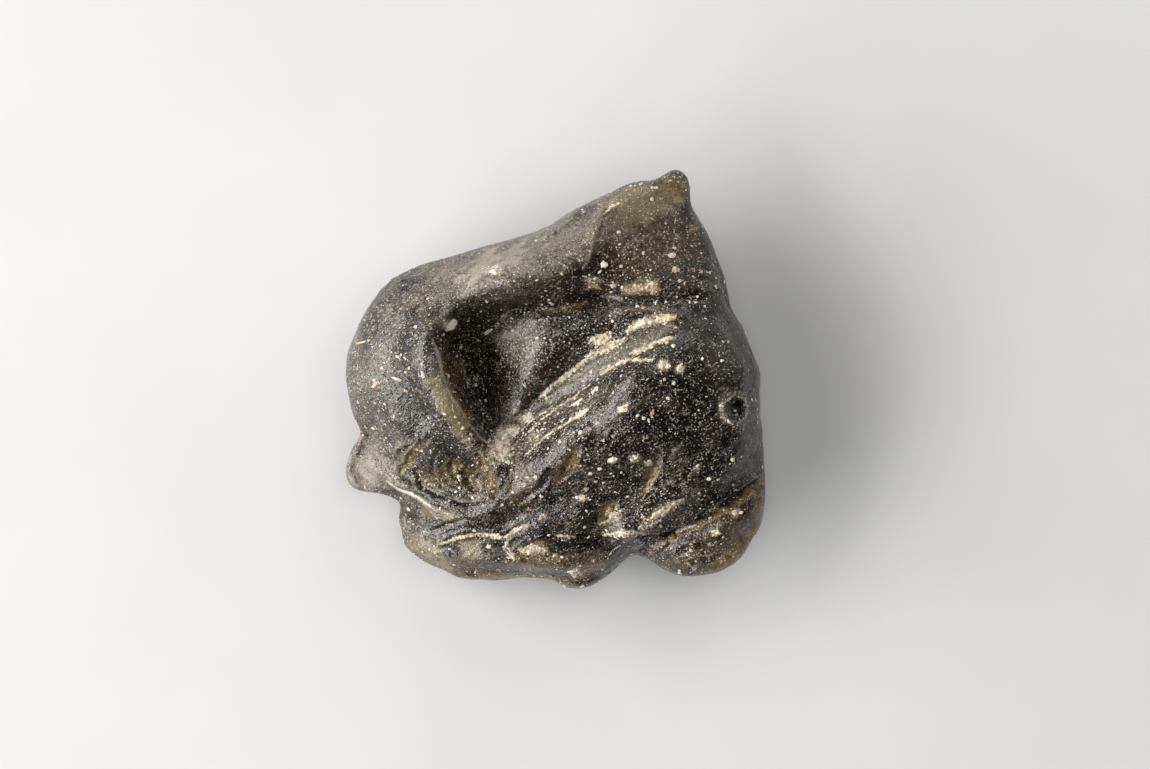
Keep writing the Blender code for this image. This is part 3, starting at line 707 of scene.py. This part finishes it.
class Paint:
    """A material's nodes, added and joined one at a time. Texture sizes are millimetres."""

    def __init__(self, name):
        self.material = bpy.data.materials.new(name)
        self.material.use_nodes = True
        self.tree = self.material.node_tree
        self.tree.nodes.clear()
        self.output = self.tree.nodes.new("ShaderNodeOutputMaterial")
        place = self.node("ShaderNodeTexCoord").outputs["Object"]
        scaled = self.node("ShaderNodeVectorMath", operation="SCALE")
        scaled.inputs["Scale"].default_value = 1 / MM
        self.tree.links.new(place, scaled.inputs[0])
        self.place = scaled.outputs["Vector"]

    def node(self, kind, **settings):
        node = self.tree.nodes.new(kind)
        for name, value in settings.items():
            setattr(node, name, value)
        return node

    def feed(self, socket, value):
        """Links a socket, or sets it to a plain value."""
        if isinstance(value, bpy.types.NodeSocket):
            self.tree.links.new(value, socket)
        else:
            socket.default_value = value

    def recorded(self, name):
        """A number that the mesh keeps for each point."""
        return self.node("ShaderNodeAttribute", attribute_name=name).outputs["Fac"]

    def noise(self, size, detail=3, roughness=0.55, warp=0, stretch=None):
        """Noise from 0 to 1, which stretch draws out the way that the melt flowed."""
        place = self.place
        if stretch:
            turned = self.node("ShaderNodeMapping")
            self.feed(turned.inputs["Vector"], place)
            turned.inputs["Rotation"].default_value = (0, 0, -FLOW_TURN)
            drawn = self.node("ShaderNodeMapping")
            self.feed(drawn.inputs["Vector"], turned.outputs["Vector"])
            drawn.inputs["Scale"].default_value = stretch
            place = drawn.outputs["Vector"]
        noise = self.node("ShaderNodeTexNoise")
        self.feed(noise.inputs["Vector"], place)
        noise.inputs["Scale"].default_value = 1 / size
        noise.inputs["Detail"].default_value = detail
        noise.inputs["Roughness"].default_value = roughness
        noise.inputs["Distortion"].default_value = warp
        return noise.outputs["Fac"]

    def cells(self, size):
        """Cells of one size: the distance from their middles, and a chance number for each."""
        cells = self.node("ShaderNodeTexVoronoi")
        self.feed(cells.inputs["Vector"], self.place)
        cells.inputs["Scale"].default_value = 1 / size
        return cells.outputs["Distance"], cells.outputs["Color"]

    def between(self, value, low, high, bottom=0, top=1):
        """The value moved from low..high to bottom..top, with smooth ends."""
        spread = self.node("ShaderNodeMapRange", interpolation_type="SMOOTHSTEP")
        for name, number in zip(("Value", "From Min", "From Max", "To Min", "To Max"),
                                (value, low, high, bottom, top)):
            self.feed(spread.inputs[name], number)
        return spread.outputs["Result"]

    def maths(self, operation, *values):
        maths = self.node("ShaderNodeMath", operation=operation)
        for socket, value in zip(maths.inputs, values):
            self.feed(socket, value)
        return maths.outputs[0]

    def plus(self, first, second):
        return self.maths("ADD", first, second)

    def times(self, first, second):
        return self.maths("MULTIPLY", first, second)

    def most(self, first, second):
        return self.maths("MAXIMUM", first, second)

    def thin_lines(self, value, reach):
        """1 where a noise is at its middle, falling to 0 within reach: curved hair lines."""
        offset = self.maths("SUBTRACT", value, 0.5)
        return self.between(self.maths("ABSOLUTE", offset), reach, 0)

    def mix(self, share, first, second):
        """The first colour where share is 0, and the second where it is 1."""
        mix = self.node("ShaderNodeMix", data_type="RGBA")
        self.feed(mix.inputs[0], share)
        self.feed(mix.inputs[6], first)
        self.feed(mix.inputs[7], second)
        return mix.outputs[2]

    def bump(self, height, depth, below=None):
        """A surface direction that follows the height, over that of the layer below."""
        bump = self.node("ShaderNodeBump")
        bump.inputs["Strength"].default_value = 1.0
        bump.inputs["Distance"].default_value = depth * MM
        self.feed(bump.inputs["Height"], height)
        if below:
            self.feed(bump.inputs["Normal"], below)
        return bump.outputs["Normal"]

    def finish(self, **inputs):
        """Joins the inputs to a shader and gives the finished material."""
        shader = self.node("ShaderNodeBsdfPrincipled")
        for name, value in inputs.items():
            self.feed(shader.inputs[name.replace("_", " ")], value)
        self.tree.links.new(shader.outputs["BSDF"], self.output.inputs["Surface"])
        return self.material


DARK_GLASS = (0.0032, 0.0028, 0.0024, 1)
BROWN_GLASS = (0.011, 0.0075, 0.0042, 1)
# The grey of frosted haze, which also serves as painted sheen.
HAZE_AND_SHEEN = (0.142, 0.128, 0.105, 1)
# The pale grey of frost, also used for painted glints and painted sheen.
FROST_AND_HIGHLIGHT = (0.56, 0.51, 0.43, 1)
AMBER_GLASS = (0.21, 0.125, 0.04, 1)
OLIVE_GLASS = (0.25, 0.195, 0.105, 1)
CREAM = (0.64, 0.565, 0.445, 1)
TAN = (0.38, 0.28, 0.185, 1)
WHITE = (0.78, 0.74, 0.66, 1)
DARK_CLAY = (0.19, 0.14, 0.09, 1)
FLOOR_TONES = ((0, 0, 0, 1), (0.95, 0.97, 1, 1))  # the floor lies about half way between them


class GlassPaint(Paint):
    """The frosted glass, layer by layer, from textures that the layers share."""

    def __init__(self):
        super().__init__("frosted_olive_glass")
        self.clay = self.recorded("clay")
        self.dusty = self.recorded("dusty")
        self.pale = self.recorded("pale")
        self.clean_and_shaded = self.recorded("clean_and_shaded")
        self.grit = self.noise(0.24, detail=2, roughness=0.6)
        self.clouds = self.noise(3.2, detail=4)
        self.patchy = self.noise(1.4, detail=3)
        self.streaks = self.noise(0.9, detail=2, stretch=(0.28, 2.2, 1))
        self.prick_distance, self.prick_chance = self.cells(0.25)
        self.haze_and_sheen = self.skin_haze()
        self.glow = self.light_through()
        self.frost_and_glints = self.bright_skin()
        self.pit = self.small_pits()

    def skin_haze(self):
        """How hazy the skin is, partly painted sheen: where it is pale, along streaks and on ridges, and
        less in the glossy patches that paint shade.
        """
        haze_and_sheen = self.plus(self.pale, self.between(self.streaks, 0.52, 0.74, 0, 0.12))
        haze_and_sheen = self.plus(haze_and_sheen, self.between(self.recorded("hollow"), 0, -1, 0, 0.22))
        haze_and_sheen = self.times(haze_and_sheen, self.between(self.grit, 0.36, 0.58, 0.5, 1))
        return self.times(haze_and_sheen, self.between(self.clean_and_shaded, 0, 1, 1, 0.3))

    def light_through(self):
        """How much light comes through thin and olive glass."""
        thin = self.between(self.recorded("thin"), 0.35, 0.8, 0, 0.25)
        glow = self.plus(thin, self.times(self.recorded("olive"), 0.8))
        return self.times(glow, self.between(self.grit, 0.7, 0.4, 0.45, 1))

    def bright_pricks(self):
        """Tiny bright points, partly frosted specks and partly painted glints, closer together on hazy
        skin and in the patches of specks and glints.
        """
        rate = self.plus(self.between(self.patchy, 0.35, 0.65, 0.48, 0.64), self.times(self.haze_and_sheen, -0.3))
        rate = self.plus(rate, self.times(self.recorded("specks_and_glints"), -0.5))
        lit = self.between(self.prick_chance, rate, self.plus(rate, 0.5))
        return self.times(self.between(self.prick_distance, 0.48, 0.12), lit)

    def bright_skin(self):
        """Bright pricks, which are partly painted glints, curled hair lines and flow lines together."""
        busy = self.most(self.dusty, self.between(self.patchy, 0.5, 0.6, 0, 0.6))
        curl = self.times(self.thin_lines(self.noise(0.5, detail=1, warp=0.5), 0.03), busy)
        flow_line = self.times(self.thin_lines(self.streaks, 0.028),
                               self.between(self.clouds, 0.48, 0.62, 0, 0.3))
        bright = self.most(self.bright_pricks(), self.most(curl, flow_line))
        bright = self.times(bright, self.between(self.grit, 0.3, 0.55, 0.25, 1))
        return self.times(bright, self.between(self.pale, 0.55, 1, 1, 0.3))

    def small_pits(self):
        """1 in the middle of each small pit, fainter in some and none in others."""
        distance, chance = self.cells(0.38)
        return self.times(self.between(distance, 0.26, 0.14), self.between(chance, 0.45, 0.7, 0, 0.8))

    def glass_colour(self):
        """Near-black to brown glass with its haze and painted sheen, amber and olive parts."""
        colour = self.mix(self.between(self.clouds, 0.42, 0.62), DARK_GLASS, BROWN_GLASS)
        colour = self.mix(self.between(self.haze_and_sheen, 0, 1), colour, HAZE_AND_SHEEN)
        # The palest parts take the frost grey, which there is partly painted sheen.
        colour = self.mix(self.between(self.pale, 0.8, 1, 0, 0.7), colour, FROST_AND_HIGHLIGHT)
        mottled = self.times(self.between(self.grit, 0.62, 0.4, 0.4, 1),
                             self.between(self.noise(0.7), 0.36, 0.56, 0.2, 1))
        colour = self.mix(self.times(self.recorded("amber"), mottled), colour, AMBER_GLASS)
        return self.mix(self.glow, colour, OLIVE_GLASS)

    def skin_colour(self, colour):
        """The colour with its frost and painted glints, and with pits that show brown in pale glass."""
        colour = self.mix(self.frost_and_glints, colour, FROST_AND_HIGHLIGHT)
        shown = self.times(self.pit, self.between(self.pale, 0.02, 0.25))
        return self.mix(shown, colour, BROWN_GLASS)

    def dusted(self, colour):
        """The colour with clay dust over it, and with flecks of clay that gather near the dust."""
        distance, chance = self.cells(0.52)
        rate = self.between(self.dusty, 0, 1, 0.66, 0.2)
        fleck = self.times(self.between(distance, 0.26, 0.1),
                           self.between(chance, rate, self.plus(rate, 0.18)))
        fleck = self.times(fleck, self.between(self.grit, 0.36, 0.5, 0.15, 0.85))
        tint = self.mix(self.between(self.patchy, 0.4, 0.6), CREAM, TAN)
        colour = self.mix(fleck, colour, tint)
        dust = self.times(self.clay, self.between(self.grit, 0.4, 0.6, 0.1, 0.85))
        tint = self.mix(self.between(self.noise(0.8), 0.42, 0.62), CREAM, TAN)
        return self.mix(dust, colour, tint)

    def dullness(self):
        """The roughness: hazy and frosted skin is duller, and the glossy patches, which also paint shade,
        glossier.
        """
        dull = self.plus(self.between(self.haze_and_sheen, 0, 1, 0.18, 0.45), self.times(self.frost_and_glints, 0.2))
        return self.maths("SUBTRACT", dull, self.times(self.clean_and_shaded, 0.08))

    def relief(self):
        """Uneven skin with streaks, pricks, grit and pits, from the coarsest to the finest."""
        normal = self.bump(self.noise(0.7, detail=3, roughness=0.6), 0.06)
        normal = self.bump(self.streaks, 0.07, normal)
        normal = self.bump(self.between(self.prick_distance, 0, 0.5), 0.05, normal)
        normal = self.bump(self.grit, 0.05, normal)
        return self.bump(self.times(self.pit, -1), 0.06, normal)


def glass_material():
    """Dark olive glass under a frosted, pitted skin that holds dust, with painted sheen, glints and
    shade.
    """
    paint = GlassPaint()
    return paint.finish(
        Base_Color=paint.dusted(paint.skin_colour(paint.glass_colour())),
        Roughness=paint.dullness(),
        Normal=paint.relief(),
        IOR=1.5,
        Transmission_Weight=paint.between(paint.glow, 0.25, 1, 0, 0.35),
    )


def clay_material():
    """Dry clay: cream, with tan and rusty parts and a fine grain."""
    paint = Paint("dry_clay")
    tint = paint.recorded("tint")
    colour = paint.mix(paint.between(paint.noise(1.1, detail=4), 0.46, 0.66), CREAM, TAN)
    colour = paint.mix(paint.between(tint, 0.5, 0.85), colour, WHITE)
    colour = paint.mix(paint.between(tint, 0.32, 0.05), colour, TAN)
    grain = paint.noise(0.14, detail=3, roughness=0.7)
    colour = paint.mix(paint.between(grain, 0.62, 0.35, 0, 0.6), colour, DARK_CLAY)
    normal = paint.bump(paint.noise(0.4, detail=4, roughness=0.7), 0.2)
    normal = paint.bump(paint.noise(0.13, detail=2, roughness=0.7), 0.09, normal)
    return paint.finish(Base_Color=colour, Roughness=paint.between(grain, 0.3, 0.7, 0.75, 0.95),
                        Normal=normal)


CRUST_START = 0.74  # how much clay a point needs before a crust stands on it
CRUST_TRIANGLES = 160000
CRUST_HEIGHT = 0.34
CRUST_LIMIT = 0.4  # it stands no higher than this
CRUST_SINK = 0.12  # how deep in the glass the crust's hidden border lies
CRUST_THICKNESS = 0.2
LEAST_CLAY = 0.1  # a face with less clay than this at every corner has no crust over it
CRUMBLE = [(0.9, 0.4), (0.42, 0.42), (0.2, 0.36)]  # size and strength of its uneven lumps


def clay_crust(glass):
    """A closed, crumbly crust over the parts of the skin that hold the most clay."""
    mesh = glass.data.copy()
    amounts = recorded(mesh, "clay")
    work = bmesh.new()
    work.from_mesh(mesh)
    bare = [face for face in work.faces if max(amounts[v.index] for v in face.verts) < LEAST_CLAY]
    bmesh.ops.delete(work, geom=bare, context="FACES")
    work.to_mesh(mesh)
    work.free()
    crust = new_piece("clay_crust", mesh)
    finer = crust.modifiers.new("finer", "SUBSURF")
    finer.levels = 2
    applied(crust)
    skin = Skin(crust.data)
    level = clay_amount(skin.points) - CRUST_START
    for seed, (size, strength) in enumerate(CRUMBLE):
        level += strength * rough(skin.points, size, 61 + seed)
    skin.points += skin.normals() * np.clip(CRUST_HEIGHT * level, -CRUST_SINK, CRUST_LIMIT)[:, None]
    skin.store()
    closed = crust.modifiers.new("closed", "SOLIDIFY")
    closed.thickness = CRUST_THICKNESS * MM
    closed.offset = -1
    applied(crust)
    skin = Skin(thinned(crust, CRUST_TRIANGLES).data)
    record(crust.data, "tint", 0.5 + 0.5 * rough(skin.points, 1.3, 65))
    shade_smooth(crust.data)
    return crust


# Chips that stand out in the photograph: pixel, half-length, half-width, turn, height and tint.
CHIPS = {
    "flake": ((451, 324), 0.85, 0.75, 20, 0.35, 0.75),
    "hollow_sliver": ((490, 331), 0.75, 0.2, 35, 0.25, 0.85),
    "roll_chip": ((425, 375), 0.45, 0.25, -65, 0.2, 0.6),
    "roll_scar": ((379, 384), 0.85, 0.3, 40, 0.2, 0.6),
    "roll_scar_right": ((400, 379), 0.7, 0.18, -15, 0.2, 0.7),
    "roll_dot": ((400, 357), 0.35, 0.22, -30, 0.2, 0.95),
    "roll_top_dot": ((418, 328), 0.25, 0.22, 0, 0.2, 0.95),
    "roll_scratch": ((367, 343), 0.8, 0.12, 12, 0.12, 0.6),
    "fan_sliver": ((578, 402), 1.15, 0.2, 33, 0.25, 0.85),
    "fan_flake": ((583, 413), 1.1, 0.4, 38, 0.2, 0.6),
    "fan_dot": ((594, 391), 0.6, 0.25, 55, 0.25, 0.95),
    "crack_foot_white": ((513, 432), 0.75, 0.4, 25, 0.4, 1),
    "crack_foot_middle": ((505, 438), 0.6, 0.4, 50, 0.4, 0.95),
    "crack_foot_left": ((499, 449), 0.8, 0.5, 70, 0.35, 0.6),
    "crack_foot_low": ((506, 452), 0.5, 0.35, 100, 0.35, 0.5),
    "fan_ring": ((531, 416), 0.35, 0.3, 0, 0.3, 0.95),
    "facet_white": ((603, 265), 0.5, 0.4, -30, 0.2, 0.72),
    "facet_brown": ((674, 272), 0.45, 0.4, 0, 0.25, 0.4),
    "facet_pale": ((670, 257), 0.6, 0.3, 10, 0.2, 0.7),
    "apex_dot": ((655, 190), 0.25, 0.2, 0, 0.2, 0.9),
    # A white crumb that stands for a painted glint on the upper crease.
    "upper_glint_crumb": ((656, 303), 0.5, 0.12, 70, 0.15, 1),
    "face_white": ((612, 459), 0.5, 0.4, 20, 0.3, 0.95),
    "face_top_white": ((623, 409), 0.5, 0.25, 35, 0.25, 0.95),
    "face_top_brown": ((643, 417), 0.25, 0.2, 0, 0.2, 0.3),
    "slope_dot": ((706, 478), 0.3, 0.25, 0, 0.2, 0.95),
    "wing_white": ((740, 511), 0.3, 0.16, 20, 0.12, 0.95),
    # A white crumb that stands for the bubble's painted glint.
    "bubble_glint": ((731, 402), 0.35, 0.2, 20, 0.2, 0.95),
    "face_dot": ((699, 358), 0.2, 0.18, 0, 0.15, 0.8),
    "face_dot_right": ((719, 361), 0.22, 0.18, 0, 0.15, 0.9),
    "knot_left": ((661, 363), 0.4, 0.25, 30, 0.15, 0.45),
    "knot_right": ((666, 367), 0.3, 0.25, 0, 0.15, 0.7),
    "strip_end": ((672, 346), 0.3, 0.2, 0, 0.2, 0.8),
    "band_chip": ((494, 272), 0.5, 0.3, 10, 0.2, 0.9),
    "bulge_dot": ((496, 352), 0.22, 0.12, 10, 0.15, 0.7),
    "bulge_sliver": ((524, 385), 0.35, 0.1, -55, 0.12, 0.9),
}
GRAIN_COUNT = 3600
GRAIN_RADIUS = (0.05, 0.2)
LARGE_GRAIN = 0.11  # above this radius a grain has finer faces


def ball(level):
    """Corner directions and triangles of an icosphere, for crumbs to start from."""
    work = bmesh.new()
    bmesh.ops.create_icosphere(work, subdivisions=level, radius=1)
    corners = np.array([vertex.co for vertex in work.verts])
    faces = np.array([[vertex.index for vertex in face.verts] for face in work.faces])
    work.free()
    return corners, faces


def standing_frame(normal, turn):
    """Three directions for a crumb: two in the surface, turned round by turn, and up from it."""
    up = normal / np.linalg.norm(normal)
    across = np.cross((0, 1, 0) if abs(up[1]) < 0.9 else (1, 0, 0), up)
    across /= np.linalg.norm(across)
    beside = np.cross(up, across)
    first = math.cos(turn) * across + math.sin(turn) * beside
    return np.stack([first, np.cross(up, first), up])


class Crumbs:
    """Angular crumbs gathered into one mesh."""

    def __init__(self, seed):
        self.chance = np.random.default_rng(seed)
        self.balls = {level: ball(level) for level in (1, 2)}
        self.points = []
        self.faces = []
        self.tints = []
        self.count = 0

    def add(self, centre, normal, sizes, turn, tint, level):
        """A crumb lying on the surface: sizes are its half-length, half-width and height."""
        corners, faces = self.balls[level]
        uneven = self.chance.uniform(0.6, 1.25, (len(corners), 1))
        shape = corners * uneven * np.array(sizes)
        self.points.append(shape @ standing_frame(normal, turn) + centre)
        self.faces.append(faces + self.count)
        self.tints.append(np.full(len(corners), tint))
        self.count += len(corners)

    def piece(self, name):
        mesh = bpy.data.meshes.new(name)
        points = np.concatenate(self.points) * MM
        mesh.from_pydata(points.tolist(), [], np.concatenate(self.faces).tolist())
        record(mesh, "tint", np.concatenate(self.tints))
        return new_piece(name, mesh)


def loose_chips(skin, normals):
    """The chips of the photograph, and fine grains scattered over the whole skin."""
    crumbs = Crumbs(19)
    chance = crumbs.chance
    hidden = OUT_OF_REACH * (normals[:, 2] < 0.15)
    for pixel, half_length, half_width, turn, height, tint in CHIPS.values():
        near = point_under(pixel, skin.points, hidden)
        flatter = normals[near] + (0, 0, 3)
        sizes = (half_length, half_width, height)
        crumbs.add(skin.points[near], flatter, sizes, math.radians(turn), tint, 2)
    likely = 0.12 + 12.0 * recorded(skin.mesh, "clay") + 0.35 * (rough(skin.points, 3, 71) > 0.1)
    likely *= np.where(normals[:, 2] < -0.3, 0.15, 1)
    for index in chance.choice(len(likely), GRAIN_COUNT, replace=False, p=likely / likely.sum()):
        radius = GRAIN_RADIUS[0] + (GRAIN_RADIUS[1] - GRAIN_RADIUS[0]) * chance.random() ** 3
        sizes = radius * chance.uniform(0.6, 1.5, 3) * (1, 1, 0.6)
        crumbs.add(skin.points[index], normals[index], sizes, chance.uniform(0, math.pi),
                   chance.random(), 2 if radius > LARGE_GRAIN else 1)
    return crumbs.piece("clay_grains")


CAMERA_LENS = 180  # millimetres, for a sensor 36 mm wide
CAMERA_SENSOR = 36
PHOTO_WIDTH = 1150
PHOTO_HEIGHT = 769
SHARP_HEIGHT = 10.0  # the height over the floor where a pixel is PIXEL wide


def add_camera():
    """Straight down on the folded face, from far enough that its height hardly shows."""
    camera = bpy.data.objects.new("camera", bpy.data.cameras.new("camera"))
    bpy.context.scene.collection.objects.link(camera)
    camera.data.lens = CAMERA_LENS
    camera.data.sensor_width = CAMERA_SENSOR
    camera.data.clip_end = 5
    away = PHOTO_WIDTH * PIXEL * CAMERA_LENS / CAMERA_SENSOR
    x, y = in_plan((PHOTO_WIDTH / 2, PHOTO_HEIGHT / 2))
    camera.location = Vector((x, y, SHARP_HEIGHT + away)) * MM
    bpy.context.scene.camera = camera


FLOOR_REACH = 4.0  # metres from its middle to each side
FLOOR_GAP = 0.02


def add_floor():
    """A plain pale floor, a hair under the glass."""
    paint = Paint("pale_floor")
    tone = paint.between(paint.noise(30), 0.3, 0.7, 0.46, 0.48)
    mesh = bpy.data.meshes.new("floor")
    ends = (-FLOOR_REACH, FLOOR_REACH)
    corners = [(ends[0], ends[0], 0), (ends[1], ends[0], 0), (ends[1], ends[1], 0), (ends[0], ends[1], 0)]
    mesh.from_pydata(corners, [], [(0, 1, 2, 3)])
    floor = new_piece("floor", mesh)
    floor.location.z = -FLOOR_GAP * MM
    shade = paint.mix(tone, *FLOOR_TONES)
    mesh.materials.append(paint.finish(Base_Color=shade, Roughness=1, Specular_IOR_Level=0.05))


WARM_WHITE = (1, 0.97, 0.93)
# Soft lights: place in metres, size, power in watts, colour, and whether the glass mirrors it.
LIGHTS = [
    ((-0.52, 0.16, 0.33), 0.46, 6, (1, 0.96, 0.9), True),
    ((-0.46, -0.26, 0.3), 0.42, 4.6, (1, 0.975, 0.94), True),
    ((0.1, 0.55, 0.36), 0.4, 1.6, WARM_WHITE, True),
    ((0.5, 0.2, 0.3), 0.5, 0.7, WARM_WHITE, True),
    ((0.12, 0.05, 0.8), 0.5, 2.6, WARM_WHITE, False),
]
SURROUND = (0.04, 0.04, 0.04, 1)


def add_lights():
    for index, (place, size, power, colour, mirrored) in enumerate(LIGHTS):
        light = bpy.data.lights.new(f"soft_light_{index}", "AREA")
        light.size = size
        light.energy = power
        light.color = colour
        lamp = bpy.data.objects.new(light.name, light)
        lamp.location = place
        lamp.rotation_euler = Vector(place).to_track_quat("Z", "Y").to_euler()
        lamp.visible_camera = False
        lamp.visible_glossy = mirrored
        bpy.context.scene.collection.objects.link(lamp)
    world = bpy.data.worlds.new("studio")
    world.use_nodes = True
    world.node_tree.nodes["Background"].inputs["Color"].default_value = SURROUND
    bpy.context.scene.world = world
    bpy.context.scene.view_settings.view_transform = "Standard"


def main():
    add_camera()
    add_floor()
    add_lights()

    glass = even_glass()
    skin = Skin(glass.data)
    skin.round_facets(ROUNDING_PASSES)
    above = skin.points[:, 2] > SOFTENED_ABOVE
    skin.soften(in_patches(skin.points, SOFTENED, edge=(1.3, 0.2)) * above, SOFTENING_PASSES)
    carve(skin)
    skin.store()
    skin = Skin(thinned(glass, GLASS_TRIANGLES).data)
    record_looks(skin)
    shade_smooth(glass.data)
    glass.data.materials.append(glass_material())
    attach(glass, "root")
    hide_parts("darwin_glass")

    clay = clay_material()
    for piece in (clay_crust(glass), loose_chips(skin, skin.normals())):
        piece.data.materials.clear()
        piece.data.materials.append(clay)
        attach(piece, "root")


main()
